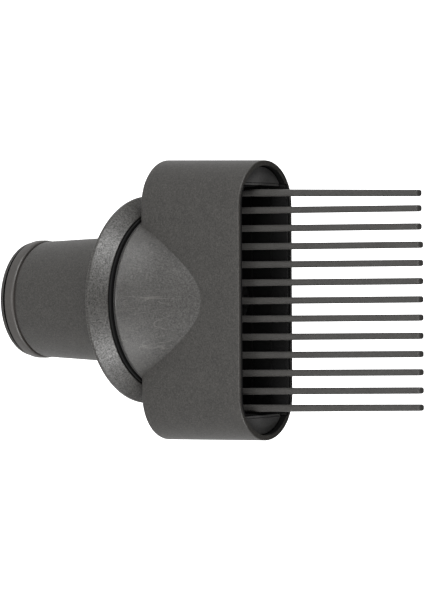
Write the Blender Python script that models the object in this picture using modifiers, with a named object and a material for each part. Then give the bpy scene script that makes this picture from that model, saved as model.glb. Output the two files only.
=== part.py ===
"""Comb attachment for a ring-headed hair dryer, in metres with +Z up.

The part stands on the rear end of its spigot, at the origin, with its teeth pointing up.
+Z is the axis of the spigot, the flange and the swivel; +X runs along the row of teeth.
Sizes below are in millimetres, and MM turns them into metres.
"""

import math

import bpy
import bmesh
from mathutils import Vector

MM = 0.001
GAP = 0.3                  # clearance that neighbouring pieces keep
PAST = 1.0                 # how far a cutter runs past the face that it cuts

RING_STEPS = 48            # sides of a full turn
SHELL_STEPS = 64           # sides of the cone
END_STEPS = 16             # sides of a half-round end
MERGE = 0.00001            # metres

# Spigot: the tube that plugs into the dryer's open middle
SPIGOT_FOOT = 7.3
SPIGOT_TOP = 56.0
SPIGOT_R = 21.93           # outside radius at its foot
SPIGOT_DRAFT = 0.051       # growth of the radius per millimetre of height
SPIGOT_WALL = 1.6
SLEEVE_R = 19.9
SLEEVE_BORE_R = 18.6
SLEEVE_TOP = 12.0
LIP_R = 21.5
LIP_TOP = 1.2
LIP_CHAMFER = 0.15
SEAL_R = 21.1
BAND_FOOT = 2.4
BAND_SHOULDER = 6.2
BAND_TOP = 7.0
BAND_R = 22.25
BAND_NECK_R = 20.9
BAND_ROUND = 0.9
BAND_FOOT_ROUND = 0.35

# Flange: the collar that seats on the dryer's front ring
FLANGE_FOOT = 53.4
FLANGE_R = 39.0
FLANGE_RIM = 1.25          # height and wall of its cylindrical rim
FLANGE_TOP = 60.5
FLANGE_TOP_R = 34.36
FLANGE_BORE_R = 32.4
FLANGE_MOUTH_R = 34.0      # counterbore that takes the base of the neck
FLANGE_MOUTH_FOOT = 59.5
PLATE_THICK = 0.75
PLATE_BORE_R = 31.0
CHANNEL_IN_R = 33.2
CHANNEL_OUT_R = 35.8
CHANNEL_TOP = 57.3
MAGNET_COUNT = 8
MAGNET_SPAN = math.radians(30)
MAGNET_THICK = 1.7
KEEPER_THICK = 0.6

# Spider: hub ring, vanes and outer ring round the annular air inlet
HUB_IN_R = 24.7
HUB_OUT_R = 26.0
VANE_COUNT = 8
VANE_THICK = 1.2
SPIDER_TOP = 59.5

# Swivel: the neck, the bush on it and the ring that keeps the head on
NECK_FOOT = SPIDER_TOP + GAP
NECK_BASE_TOP = 61.3
NECK_TOP = 66.2
NECK_BORE_R = 27.2
NECK_R = 28.6
NECK_BASE_R = FLANGE_MOUTH_R - GAP
GROOVE_FOOT = 64.8
GROOVE_TOP = 65.7
GROOVE_R = 28.0
BUSH_R = 31.0
BUSH_TOP = 63.1
CLIP_R = 29.5
CLIP_HALF_SLIT = math.radians(9)

# Head: a long body with round ends, and the cone that runs into it
RIM_FOOT = 62.1            # the rim round the swivel hangs this far below the cone
RIM_R = 33.2
RIM_BORE_R = 31.3
RIM_LAP = 0.1              # how far the rim runs up inside the cone
HEAD_FOOT = 63.0
MOUTH = 108.85
HEAD_HALF_LENGTH = 52.55
HEAD_HALF_DEPTH = 16.87
END_CENTRE = HEAD_HALF_LENGTH - HEAD_HALF_DEPTH
CONE_R = 33.31             # at the head's foot
CONE_SLOPE = 0.5846        # loss of radius per millimetre of height
CONE_WALL = 1.89           # measured along the radius
CONE_TOP = 92.0
END_WALL = 1.97            # shell wall round the mouth's two ends
SLOT_WALL = 1.25           # shell wall beside the slot
SLOT_HALF_LENGTH = 43.55
SLOT_FOOT = 91.95

# Duct: the black lining, whose walls step in twice on the way down
DUCT_FOOT = 66.6
DUCT_FLOOR = 1.2
DUCT_TOP = 108.55
DUCT_STEP_1 = 100.85
DUCT_STEP_2 = 92.25
DUCT_HALF_LENGTH = 43.25
DUCT_INNER_HALF_LENGTH = 42.55
DUCT_UPPER_INSET = SLOT_WALL + GAP
DUCT_LOWER_INSET = END_WALL + GAP
DUCT_WALL = 1.0
DUCT_STEP_IN = 0.3
DUCT_LOWER_WALL = 1.2

# End panels: two D-shaped plates sunk in the mouth
PANEL_EDGE = 43.15
PANEL_SKEW = math.radians(2.3)     # its straight edge comes this much closer to the teeth at the back
PANEL_TOP = MOUTH - 2.3
PANEL_THICK = 1.6
PANEL_INSET = END_WALL + 0.45
SKIRT_DEPTH = 5.5
SKIRT_THICK = 1.2
SKIRT_INSET = 0.6
SKIRT_EDGE = DUCT_HALF_LENGTH + 0.75

# Rear cover and the comb's spine, screwed together
COVER_FOOT = HEAD_FOOT + RIM_LAP + GAP
COVER_THICK = 1.4
COVER_RING_R = 30.2
POST_X = 46.3
POST_R = 2.5
POST_TOP = 87.7
PILOT_R = 1.4
PILOT_FOOT = 79.0
SPINE_HALF_LENGTH = 49.0
SPINE_HALF_DEPTH = 3.2
SPINE_FOOT = 88.0
SPINE_TOP = 93.0
KEEL_ROUND = 2.0
SCREW_R = 1.1
SCREW_FOOT = 80.0
SCREW_HEAD_R = 2.1
SCREW_HEAD = 1.4

# Teeth: a row of long blades with rounded edges
TOOTH_COUNT = 13
PITCH = 6.78
TOOTH_FOOT = 89.2
TOOTH_TOP = 181.0
TOOTH_WIDTH = 2.5
TOOTH_DEPTH = 3.6
TOOTH_ROUND = 0.9
END_TOOTH_WIDTH = 2.75
TIP_WIDTH = 2.45
END_TOOTH_SHIFT = 0.4      # the outermost pair stands this much closer to its neighbours
ROW_LEAN = math.radians(-0.69)     # the row leans a little to -X, about a line at this height
ROW_PIVOT = 121.6
FIRST_LEAN = math.radians(0.0)     # the first tooth stands straight
SHORT_TEETH = 3            # the first teeth of the row are cut shorter
SHORT_BY = 0.6

PARTS = "comb_attachment"
CUTTERS = "cutters"


# ---------------------------------------------------------------- scene and materials

def clear_scene():
    for old in list(bpy.data.objects):
        bpy.data.objects.remove(old, do_unlink=True)
    for name in (PARTS, CUTTERS):
        group = bpy.data.collections.new(name)
        bpy.context.scene.collection.children.link(group)


def make_material(name, colour, roughness, metallic=0.0):
    material = bpy.data.materials.new(name)
    material.use_nodes = True
    shader = material.node_tree.nodes["Principled BSDF"]
    shader.inputs["Base Color"].default_value = (*colour, 1.0)
    shader.inputs["Roughness"].default_value = roughness
    shader.inputs["Metallic"].default_value = metallic
    return material


def make_empty(name, z):
    empty = bpy.data.objects.new(name, None)
    empty.location = (0.0, 0.0, z * MM)
    bpy.data.collections[PARTS].objects.link(empty)
    return empty


def add_object(name, mesh, group=PARTS):
    piece = bpy.data.objects.new(name, mesh)
    bpy.data.collections[group].objects.link(piece)
    if group == CUTTERS:
        piece.hide_render = True
        piece.display_type = 'WIRE'
    return piece


def put(piece, parent, x=0.0, y=0.0, z=0.0):
    """Stand a piece at a place in the assembly, given in millimetres."""
    piece.parent = parent
    piece.location = Vector((x, y, z)) * MM - parent.location
    return piece


def finish(piece, material):
    piece.data.materials.clear()
    piece.data.materials.append(material)
    if piece.data.polygons:
        piece.data.shade_smooth()
        piece.data.set_sharp_from_angle(angle=math.radians(30))
    return piece


# ---------------------------------------------------------------- outlines

def arc(centre_x, radius, start, end, steps, centre_y=0.0):
    """Points along an arc, both ends included."""
    points = []
    for i in range(steps + 1):
        angle = start + (end - start) * i / steps
        x = centre_x + radius * math.cos(angle)
        y = centre_y + radius * math.sin(angle)
        points.append((x, y))
    return points


def circle(radius, steps=RING_STEPS):
    return arc(0.0, radius, 0.0, 2 * math.pi, steps)[:-1]


def round_ended(inset):
    """The head's own outline, moved in by inset."""
    radius = HEAD_HALF_DEPTH - inset
    right = arc(END_CENTRE, radius, -math.pi / 2, math.pi / 2, END_STEPS)
    left = arc(-END_CENTRE, radius, math.pi / 2, 3 * math.pi / 2, END_STEPS)
    return right + left


def slot(inset, half_length):
    """The head's outline, moved in by inset and cut straight across at each end."""
    radius = HEAD_HALF_DEPTH - inset
    reach = math.acos((half_length - END_CENTRE) / radius)
    steps = END_STEPS // 4
    outline = []
    for side in (1, -1):
        turn = 0.0 if side == 1 else math.pi
        outline += arc(side * END_CENTRE, radius, turn + reach, turn + math.pi / 2, steps)
        outline += arc(-side * END_CENTRE, radius, turn + math.pi / 2, turn + math.pi - reach, steps)
    return outline


def d_shape(inset, edge, skew=0.0):
    """The end of the head's outline at +X, beyond a straight edge that leans inward towards +Y."""
    radius = HEAD_HALF_DEPTH - inset
    reach = math.acos((edge - END_CENTRE) * math.cos(skew) / radius)
    return arc(END_CENTRE, radius, skew - reach, skew + reach, END_STEPS)


def sector(inner, outer, start, end, steps):
    return arc(0.0, outer, start, end, steps) + arc(0.0, inner, end, start, steps)


# ---------------------------------------------------------------- solids

def turned(name, profile, group=PARTS):
    """A ring turned about Z. The profile runs down its outer side, then up its inner side."""
    mesh = bpy.data.meshes.new(name)
    points = [(r * MM, 0.0, z * MM) for r, z in profile]
    count = len(points)
    mesh.from_pydata(points, [(i, (i + 1) % count) for i in range(count)], [])
    piece = add_object(name, mesh, group)
    screw = piece.modifiers.new("turn", 'SCREW')
    screw.steps = RING_STEPS
    screw.render_steps = RING_STEPS
    screw.use_merge_vertices = True
    screw.merge_threshold = MERGE
    screw.use_smooth_shade = True
    return piece


def prism(name, outlines, height, group=PARTS):
    """A flat outline, with any holes in it, extruded upwards from z = 0."""
    curve = bpy.data.curves.new(name, 'CURVE')
    curve.dimensions = '2D'
    curve.fill_mode = 'BOTH'
    curve.extrude = height * MM / 2
    for outline in outlines:
        spline = curve.splines.new('POLY')
        spline.points.add(len(outline) - 1)
        for point, (x, y) in zip(spline.points, outline):
            point.co = (x * MM, y * MM, 0.0, 1.0)
        spline.use_cyclic_u = True
    drawn = bpy.data.objects.new(name + "_outline", curve)
    bpy.context.scene.collection.objects.link(drawn)
    bpy.context.view_layer.update()
    evaluated = drawn.evaluated_get(bpy.context.evaluated_depsgraph_get())
    mesh = bpy.data.meshes.new_from_object(evaluated)
    mesh.name = name
    bpy.data.objects.remove(drawn, do_unlink=True)
    form = bmesh.new()
    form.from_mesh(mesh)
    bmesh.ops.remove_doubles(form, verts=form.verts, dist=MERGE)
    bmesh.ops.translate(form, verts=form.verts, vec=(0.0, 0.0, height * MM / 2))
    bmesh.ops.recalc_face_normals(form, faces=form.faces)
    form.to_mesh(mesh)
    form.free()
    return add_object(name, mesh, group)


def cone(name, low_r, high_r, height, steps=RING_STEPS, group=CUTTERS):
    """A cylinder or a cone that stands on z = 0."""
    mesh = bpy.data.meshes.new(name)
    form = bmesh.new()
    bmesh.ops.create_cone(form, cap_ends=True, cap_tris=False, segments=steps,
                          radius1=low_r * MM, radius2=high_r * MM, depth=height * MM)
    bmesh.ops.translate(form, verts=form.verts, vec=(0.0, 0.0, height * MM / 2))
    form.to_mesh(mesh)
    form.free()
    return add_object(name, mesh, group)


def block(name, size, group=CUTTERS):
    """A box that stands on z = 0, centred on Z."""
    mesh = bpy.data.meshes.new(name)
    form = bmesh.new()
    bmesh.ops.create_cube(form, size=MM)
    bmesh.ops.scale(form, verts=form.verts, vec=size)
    bmesh.ops.translate(form, verts=form.verts, vec=(0.0, 0.0, size[2] * MM / 2))
    form.to_mesh(mesh)
    form.free()
    return add_object(name, mesh, group)


def combine(piece, other, operation):
    boolean = piece.modifiers.new(operation.lower(), 'BOOLEAN')
    boolean.operation = operation
    boolean.solver = 'EXACT'
    boolean.object = other


def cone_radius(z):
    """Outside radius of the head's cone at a height."""
    return CONE_R - CONE_SLOPE * (z - HEAD_FOOT)


def cone_between(name, low, high, inset):
    """The part of the head's cone between two heights, moved in by inset."""
    low_r = cone_radius(low) - inset
    high_r = cone_radius(high) - inset
    return cone(name, low_r, high_r, high - low, SHELL_STEPS)


# ---------------------------------------------------------------- collar

def make_end_ring(collar, material):
    chamfer_r = LIP_R - LIP_CHAMFER
    profile = [(SLEEVE_R, SLEEVE_TOP), (SLEEVE_R, LIP_TOP), (chamfer_r, LIP_TOP),
               (LIP_R, LIP_TOP - LIP_CHAMFER), (LIP_R, LIP_CHAMFER), (chamfer_r, 0.0),
               (SLEEVE_BORE_R, 0.0), (SLEEVE_BORE_R, SLEEVE_TOP)]
    put(finish(turned("end_ring", profile), material), collar)


def make_spigot_seal(collar, material):
    inner = SLEEVE_R + GAP
    height = BAND_FOOT - LIP_TOP - 2 * GAP
    profile = [(SEAL_R, height), (SEAL_R, 0.0), (inner, 0.0), (inner, height)]
    put(finish(turned("spigot_seal", profile), material), collar, z=LIP_TOP + GAP)


def make_guide_band(collar, material):
    inner = SLEEVE_R + GAP
    height = BAND_TOP - BAND_FOOT
    shoulder = BAND_SHOULDER - BAND_FOOT
    top = arc(BAND_R - BAND_ROUND, BAND_ROUND, math.pi / 2, 0.0, 3, shoulder - BAND_ROUND)
    foot = arc(BAND_R - BAND_FOOT_ROUND, BAND_FOOT_ROUND, 0.0, -math.pi / 2, 3, BAND_FOOT_ROUND)
    neck = [(inner, 0.0), (inner, height), (BAND_NECK_R, height), (BAND_NECK_R, shoulder)]
    profile = top + foot + neck
    put(finish(turned("guide_band", profile), material), collar, z=BAND_FOOT)


def make_spigot_tube(collar, material):
    height = SPIGOT_TOP - SPIGOT_FOOT
    top_r = SPIGOT_R + SPIGOT_DRAFT * height
    round_off = 0.3
    profile = [(top_r, height), (SPIGOT_R + SPIGOT_DRAFT * round_off, round_off),
               (SPIGOT_R - round_off, 0.0), (SPIGOT_R - SPIGOT_WALL, 0.0),
               (top_r - SPIGOT_WALL, height)]
    put(finish(turned("spigot_tube", profile), material), collar, z=SPIGOT_FOOT)


def make_flange_ring(collar, material):
    rim_top = FLANGE_RIM
    seat = PLATE_THICK + GAP
    top = FLANGE_TOP - FLANGE_FOOT
    mouth_foot = FLANGE_MOUTH_FOOT - FLANGE_FOOT
    channel = CHANNEL_TOP - FLANGE_FOOT
    inside = FLANGE_R - FLANGE_RIM
    round_off = 0.3
    profile = [(FLANGE_TOP_R, top), (FLANGE_R - round_off, rim_top + round_off),
               (FLANGE_R, rim_top - round_off), (FLANGE_R, 0.0), (inside, 0.0), (inside, seat),
               (CHANNEL_OUT_R, seat), (CHANNEL_OUT_R, channel),
               (CHANNEL_IN_R, channel), (CHANNEL_IN_R, seat),
               (FLANGE_BORE_R, seat), (FLANGE_BORE_R, mouth_foot),
               (FLANGE_MOUTH_R, mouth_foot), (FLANGE_MOUTH_R, top)]
    put(finish(turned("flange_ring", profile), material), collar, z=FLANGE_FOOT)


def make_back_plate(collar, material):
    outer = circle(FLANGE_R - FLANGE_RIM - GAP)
    plate = prism("back_plate", [outer, circle(PLATE_BORE_R)], PLATE_THICK)
    put(finish(plate, material), collar, z=FLANGE_FOOT)


def make_magnets(collar, material):
    shape = sector(CHANNEL_IN_R + GAP, CHANNEL_OUT_R - GAP, -MAGNET_SPAN / 2, MAGNET_SPAN / 2, 4)
    for i in range(MAGNET_COUNT):
        magnet = prism("magnet_%d" % (i + 1), [shape], MAGNET_THICK)
        magnet.rotation_euler.z = 2 * math.pi * i / MAGNET_COUNT
        put(finish(magnet, material), collar, z=FLANGE_FOOT + PLATE_THICK + GAP)


def make_keeper_ring(collar, material):
    outer = circle(CHANNEL_OUT_R - GAP)
    keeper = prism("keeper_ring", [outer, circle(CHANNEL_IN_R + GAP)], KEEPER_THICK)
    put(finish(keeper, material), collar, z=CHANNEL_TOP - GAP - KEEPER_THICK)


def make_inlet_spider(collar, material):
    outlines = [circle(FLANGE_BORE_R - GAP), circle(HUB_IN_R)]
    for i in range(VANE_COUNT):
        vane = 2 * math.pi * (i + 0.5) / VANE_COUNT
        start = vane + VANE_THICK / 2 / PLATE_BORE_R
        end = vane + 2 * math.pi / VANE_COUNT - VANE_THICK / 2 / PLATE_BORE_R
        outlines.append(sector(HUB_OUT_R, PLATE_BORE_R, start, end, 6))
    foot = FLANGE_FOOT + PLATE_THICK + GAP
    spider = prism("inlet_spider", outlines, SPIDER_TOP - foot)
    put(finish(spider, material), collar, z=foot)


def make_neck_tube(collar, material):
    profile = [(NECK_R, NECK_TOP), (NECK_R, GROOVE_TOP), (GROOVE_R, GROOVE_TOP),
               (GROOVE_R, GROOVE_FOOT), (NECK_R, GROOVE_FOOT), (NECK_R, NECK_BASE_TOP),
               (NECK_BASE_R, NECK_BASE_TOP), (NECK_BASE_R, NECK_FOOT),
               (NECK_BORE_R, NECK_FOOT), (NECK_BORE_R, NECK_TOP)]
    profile = [(r, z - NECK_FOOT) for r, z in profile]
    put(finish(turned("neck_tube", profile), material), collar, z=NECK_FOOT)


def make_retaining_ring(collar, material):
    gap = 0.15
    ring = sector(GROOVE_R + gap, CLIP_R, CLIP_HALF_SLIT, 2 * math.pi - CLIP_HALF_SLIT, RING_STEPS)
    clip = prism("retaining_ring", [ring], GROOVE_TOP - GROOVE_FOOT - 2 * gap)
    put(finish(clip, material), collar, z=GROOVE_FOOT + gap)


# ---------------------------------------------------------------- head

def make_swivel_bush(head, material):
    foot = NECK_BASE_TOP + GAP
    bush = prism("swivel_bush", [circle(BUSH_R), circle(NECK_R + GAP)], BUSH_TOP - foot)
    put(finish(bush, material), head, z=foot)


def make_outer_shell(head, material):
    shell = prism("outer_shell", [round_ended(0.0)], MOUTH - HEAD_FOOT)
    flare = cone_between("shell_cone", HEAD_FOOT, CONE_TOP, 0.0)
    hollow = prism("shell_hollow", [round_ended(END_WALL)], MOUTH - HEAD_FOOT + 2 * PAST, CUTTERS)
    recess = prism("shell_slot", [slot(SLOT_WALL, SLOT_HALF_LENGTH)], MOUTH - SLOT_FOOT + PAST, CUTTERS)
    rim = cone("shell_rim", RIM_R, RIM_R, HEAD_FOOT + RIM_LAP - RIM_FOOT, SHELL_STEPS)
    rim_bore = cone("shell_rim_bore", RIM_BORE_R, RIM_BORE_R, 3 * PAST, SHELL_STEPS)
    bore = cone_between("shell_bore", HEAD_FOOT, CONE_TOP, CONE_WALL)
    put(flare, head, z=HEAD_FOOT)
    put(hollow, head, z=HEAD_FOOT - PAST)
    put(recess, head, z=SLOT_FOOT)
    put(bore, head, z=HEAD_FOOT)
    put(rim, head, z=RIM_FOOT)
    put(rim_bore, head, z=RIM_FOOT - PAST)
    combine(shell, flare, 'UNION')
    combine(shell, hollow, 'DIFFERENCE')
    combine(shell, rim, 'UNION')
    for cutter in (bore, rim_bore, recess):
        combine(shell, cutter, 'DIFFERENCE')
    put(finish(shell, material), head, z=HEAD_FOOT)


def make_rear_cover(head, material):
    radius = HEAD_HALF_DEPTH - END_WALL - GAP
    meet = math.asin(radius / COVER_RING_R)
    outline = []
    for turn in (0.0, math.pi):
        side = math.cos(turn)
        outline += arc(side * END_CENTRE, radius, turn - math.pi / 2, turn + math.pi / 2, END_STEPS)
        outline += arc(0.0, COVER_RING_R, turn + meet, turn + math.pi - meet, END_STEPS)
    cover = prism("rear_cover", [outline, circle(NECK_R + GAP)], COVER_THICK)
    for name, side in (("left", -1), ("right", 1)):
        post = cone("post_" + name, POST_R, POST_R, POST_TOP - COVER_FOOT - COVER_THICK / 2, 16)
        pilot = cone("pilot_" + name, PILOT_R, PILOT_R, POST_TOP - PILOT_FOOT + PAST, 12)
        put(post, head, x=side * POST_X, z=COVER_FOOT + COVER_THICK / 2)
        put(pilot, head, x=side * POST_X, z=PILOT_FOOT)
        combine(cover, post, 'UNION')
        combine(cover, pilot, 'DIFFERENCE')
    put(finish(cover, material), head, z=COVER_FOOT)


def make_air_duct(head, material):
    lower_outline = slot(DUCT_LOWER_INSET, DUCT_HALF_LENGTH)
    upper_outline = slot(DUCT_UPPER_INSET, DUCT_HALF_LENGTH)
    duct = prism("air_duct", [lower_outline], DUCT_STEP_2 + PAST / 2 - DUCT_FOOT)
    upper = prism("duct_upper", [upper_outline], DUCT_TOP - DUCT_STEP_2, CUTTERS)
    flare = cone_between("duct_cone", DUCT_FOOT, CONE_TOP, CONE_WALL + GAP)
    put(upper, head, z=DUCT_STEP_2)
    put(flare, head, z=DUCT_FOOT)
    combine(duct, flare, 'UNION')
    combine(duct, upper, 'UNION')

    hollows = (
        ("duct_hollow_1", DUCT_UPPER_INSET + DUCT_WALL, DUCT_STEP_1, DUCT_TOP + PAST),
        ("duct_hollow_2", DUCT_UPPER_INSET + DUCT_WALL + DUCT_STEP_IN, DUCT_STEP_2, DUCT_STEP_1 + PAST),
        ("duct_hollow_3", DUCT_LOWER_INSET + DUCT_LOWER_WALL, DUCT_FOOT + DUCT_FLOOR, DUCT_STEP_2 + PAST),
    )
    for name, inset, low, high in hollows:
        hollow = prism(name, [slot(inset, DUCT_INNER_HALF_LENGTH)], high - low, CUTTERS)
        put(hollow, head, z=low)
        combine(duct, hollow, 'DIFFERENCE')
    bore = cone_between("duct_bore", DUCT_FOOT - PAST, CONE_TOP, CONE_WALL + GAP + DUCT_LOWER_WALL)
    put(bore, head, z=DUCT_FOOT - PAST)
    combine(duct, bore, 'DIFFERENCE')

    notch_foot = SPINE_FOOT - GAP
    notch = block("spine_notch", (2 * SPINE_HALF_LENGTH, 2 * (SPINE_HALF_DEPTH + GAP),
                                  SPINE_TOP + GAP - notch_foot))
    put(notch, head, z=notch_foot)
    combine(duct, notch, 'DIFFERENCE')
    seat_foot = PANEL_TOP - PANEL_THICK - GAP
    for name, side in (("left", -1), ("right", 1)):
        seat = block("panel_seat_" + name, (2 * PAST, 2 * HEAD_HALF_DEPTH, MOUTH - seat_foot + PAST))
        put(seat, head, x=side * (DUCT_INNER_HALF_LENGTH - GAP / 2 + PAST), z=seat_foot)
        combine(duct, seat, 'DIFFERENCE')
    put(finish(duct, material), head, z=DUCT_FOOT)


def make_end_panel(head, material, name, side):
    panel = prism(name, [d_shape(PANEL_INSET, PANEL_EDGE, side * PANEL_SKEW)], PANEL_THICK)
    outside = d_shape(PANEL_INSET + SKIRT_INSET, SKIRT_EDGE)
    inside = d_shape(PANEL_INSET + SKIRT_INSET + SKIRT_THICK, SKIRT_EDGE + SKIRT_THICK)
    skirt = prism(name + "_skirt", [outside, inside], SKIRT_DEPTH + PANEL_THICK / 2, CUTTERS)
    put(skirt, head, z=PANEL_TOP - PANEL_THICK - SKIRT_DEPTH)
    put(panel, head, z=PANEL_TOP - PANEL_THICK)
    if side < 0:
        skirt.rotation_euler.z = math.pi
        panel.rotation_euler.z = math.pi
    combine(panel, skirt, 'UNION')
    finish(panel, material)


def tooth_lean(number):
    return FIRST_LEAN if number == 1 else ROW_LEAN


def tooth_x(number):
    """Place of a tooth's root along the row, from its number, which starts at 1."""
    x = PITCH * (number - (TOOTH_COUNT + 1) / 2)
    if number == 1:
        x += END_TOOTH_SHIFT
    if number == TOOTH_COUNT:
        x -= END_TOOTH_SHIFT
    return x - math.tan(tooth_lean(number)) * (ROW_PIVOT - TOOTH_FOOT)


def make_comb_spine(head, material):
    height = SPINE_TOP - SPINE_FOOT
    wide = SPINE_HALF_DEPTH
    left = arc(-wide + KEEL_ROUND, KEEL_ROUND, math.pi, 3 * math.pi / 2, 4, KEEL_ROUND)
    right = arc(wide - KEEL_ROUND, KEEL_ROUND, -math.pi / 2, 0.0, 4, KEEL_ROUND)
    section = left + right + [(wide, height), (-wide, height)]
    spine = prism("comb_spine", [section], 2 * SPINE_HALF_LENGTH)
    spine.rotation_euler = (math.pi / 2, 0.0, math.pi / 2)
    for number in range(1, TOOTH_COUNT + 1):
        width = END_TOOTH_WIDTH if number in (1, TOOTH_COUNT) else TOOTH_WIDTH
        socket = block("socket_%02d" % number, (width + 2 * GAP, TOOTH_DEPTH + 2 * GAP,
                                                SPINE_TOP - TOOTH_FOOT + GAP + PAST))
        put(socket, head, x=tooth_x(number), z=TOOTH_FOOT - GAP)
        combine(spine, socket, 'DIFFERENCE')
    for name, side in (("left", -1), ("right", 1)):
        hole = cone("screw_hole_" + name, PILOT_R, PILOT_R, height + 2 * PAST, 12)
        put(hole, head, x=side * POST_X, z=SPINE_FOOT - PAST)
        combine(spine, hole, 'DIFFERENCE')
    put(finish(spine, material), head, x=-SPINE_HALF_LENGTH, z=SPINE_FOOT)


def make_spine_screws(head, material):
    head_foot = SPINE_TOP + GAP - SCREW_FOOT
    for name, side in (("left", -1), ("right", 1)):
        screw = cone("spine_screw_" + name, SCREW_R, SCREW_R, head_foot + SCREW_HEAD / 2, 12, PARTS)
        cap = cone("screw_head_" + name, SCREW_HEAD_R, SCREW_HEAD_R, SCREW_HEAD, 16)
        put(cap, head, x=side * POST_X, z=SPINE_TOP + GAP)
        combine(screw, cap, 'UNION')
        put(finish(screw, material), head, x=side * POST_X, z=SCREW_FOOT)


def tooth_mesh(name, root_width, length):
    """A blade that stands on z = 0, narrower at its tip."""
    mesh = bpy.data.meshes.new(name)
    form = bmesh.new()
    bmesh.ops.create_cube(form, size=MM)
    bmesh.ops.scale(form, verts=form.verts, vec=(root_width, TOOTH_DEPTH, length))
    bmesh.ops.translate(form, verts=form.verts, vec=(0.0, 0.0, length * MM / 2))
    tip = [v for v in form.verts if v.co.z > length * MM / 2]
    bmesh.ops.scale(form, verts=tip, vec=(TIP_WIDTH / root_width, 1.0, 1.0))
    form.to_mesh(mesh)
    form.free()
    return mesh


def make_teeth(head, material):
    full = TOOTH_TOP - TOOTH_FOOT
    for number in range(1, TOOTH_COUNT + 1):
        name = "tooth_%02d" % number
        length = full - SHORT_BY if number <= SHORT_TEETH else full
        at_end = number in (1, TOOTH_COUNT)
        width = END_TOOTH_WIDTH if at_end else TOOTH_WIDTH
        tooth = add_object(name, tooth_mesh(name, width, length))
        bevel = tooth.modifiers.new("round_edges", 'BEVEL')
        bevel.width = TOOTH_ROUND * MM
        bevel.segments = 2
        tooth.rotation_euler.y = tooth_lean(number)
        put(finish(tooth, material), head, x=tooth_x(number), z=TOOTH_FOOT)


# ---------------------------------------------------------------- assembly

def build():
    clear_scene()
    iron_grey = make_material("iron_grey_plastic", (0.075, 0.073, 0.070), 0.45)
    tooth_grey = make_material("tooth_plastic", (0.070, 0.068, 0.066), 0.38)
    panel_grey = make_material("panel_plastic", (0.050, 0.049, 0.047), 0.5)
    band_brown = make_material("band_plastic", (0.085, 0.076, 0.068), 0.5)
    black = make_material("black_plastic", (0.012, 0.012, 0.012), 0.5)
    rubber = make_material("black_rubber", (0.010, 0.010, 0.010), 0.7)
    steel = make_material("spring_steel", (0.55, 0.55, 0.56), 0.3, 1.0)
    magnet_grey = make_material("nickel_plate", (0.50, 0.49, 0.47), 0.25, 1.0)

    collar = make_empty("collar_foot", 0.0)
    make_end_ring(collar, iron_grey)
    make_spigot_seal(collar, rubber)
    make_guide_band(collar, band_brown)
    make_spigot_tube(collar, iron_grey)
    make_flange_ring(collar, iron_grey)
    make_back_plate(collar, black)
    make_magnets(collar, magnet_grey)
    make_keeper_ring(collar, steel)
    make_inlet_spider(collar, black)
    make_neck_tube(collar, black)
    make_retaining_ring(collar, steel)

    head = make_empty("swivel_axis", HEAD_FOOT)
    make_swivel_bush(head, black)
    make_outer_shell(head, iron_grey)
    make_rear_cover(head, iron_grey)
    make_air_duct(head, black)
    make_end_panel(head, panel_grey, "end_panel_left", -1)
    make_end_panel(head, panel_grey, "end_panel_right", 1)
    make_comb_spine(head, black)
    make_spine_screws(head, steel)
    make_teeth(head, tooth_grey)


build()
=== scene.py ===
"""Looks of a comb attachment for a ring-headed hair dryer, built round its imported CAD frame.

The part stands on the rear end of its spigot, with +Z along its axis and +X along the teeth.
"""

import math

import bpy
import bmesh
from mathutils import Matrix, Vector


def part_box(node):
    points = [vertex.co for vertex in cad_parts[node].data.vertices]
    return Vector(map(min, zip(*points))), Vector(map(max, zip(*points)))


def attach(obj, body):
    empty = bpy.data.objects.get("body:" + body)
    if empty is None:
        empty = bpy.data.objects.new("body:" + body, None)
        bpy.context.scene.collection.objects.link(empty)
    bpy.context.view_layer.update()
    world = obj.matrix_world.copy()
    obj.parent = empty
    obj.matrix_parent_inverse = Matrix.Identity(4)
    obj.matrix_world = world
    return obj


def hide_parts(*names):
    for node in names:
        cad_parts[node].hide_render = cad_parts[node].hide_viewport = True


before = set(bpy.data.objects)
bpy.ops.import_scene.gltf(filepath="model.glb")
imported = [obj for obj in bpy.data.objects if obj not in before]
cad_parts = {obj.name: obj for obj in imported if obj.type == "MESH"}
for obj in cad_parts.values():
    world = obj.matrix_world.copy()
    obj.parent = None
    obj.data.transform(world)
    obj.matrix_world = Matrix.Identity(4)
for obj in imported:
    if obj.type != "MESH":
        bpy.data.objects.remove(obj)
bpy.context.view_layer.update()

MM = 0.001
MERGE = 1e-7
RING_STEPS = 192


# ---------------------------------------------------------------- sizes, from the frame

def low(node):
    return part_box(node)[0]


def high(node):
    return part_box(node)[1]


FLANGE_FOOT = low("flange_ring").z
FLANGE_TOP = high("flange_ring").z
FLANGE_R = high("flange_ring").x
TUBE_FOOT = low("spigot_tube").z
TUBE_TOP = high("spigot_tube").z
TUBE_TOP_R = high("spigot_tube").x
RIM_FOOT = low("outer_shell").z
HEAD_FOOT = RIM_FOOT + 0.9 * MM
MOUTH = high("outer_shell").z
HALF_LENGTH = high("outer_shell").x
CONE_R = high("outer_shell").y

# Sizes that no box gives, as in the CAD model
HALF_DEPTH = 16.87 * MM
END_CENTRE = HALF_LENGTH - HALF_DEPTH
CONE_SLOPE = 0.5846
CONE_WALL = 1.89 * MM
END_WALL = 1.97 * MM
SLOT_WALL = 1.25 * MM
SLOT_X = 43.55 * MM
SLOT_FOOT = 91.95 * MM
RIM_R = 33.2 * MM
RIM_BORE_R = 31.3 * MM
GAP = 0.3 * MM
POST_X = 46.3 * MM
PANEL_TOP = high("end_panel_right").z
PANEL_FOOT = PANEL_TOP - 1.6 * MM
PANEL_EDGE = 43.15 * MM
PANEL_SKEW = math.radians(2.3)       # the edge comes this much closer to the teeth at the back
SKIRT_EDGE = 44.0 * MM


# ---------------------------------------------------------------- camera, light, floor

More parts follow.
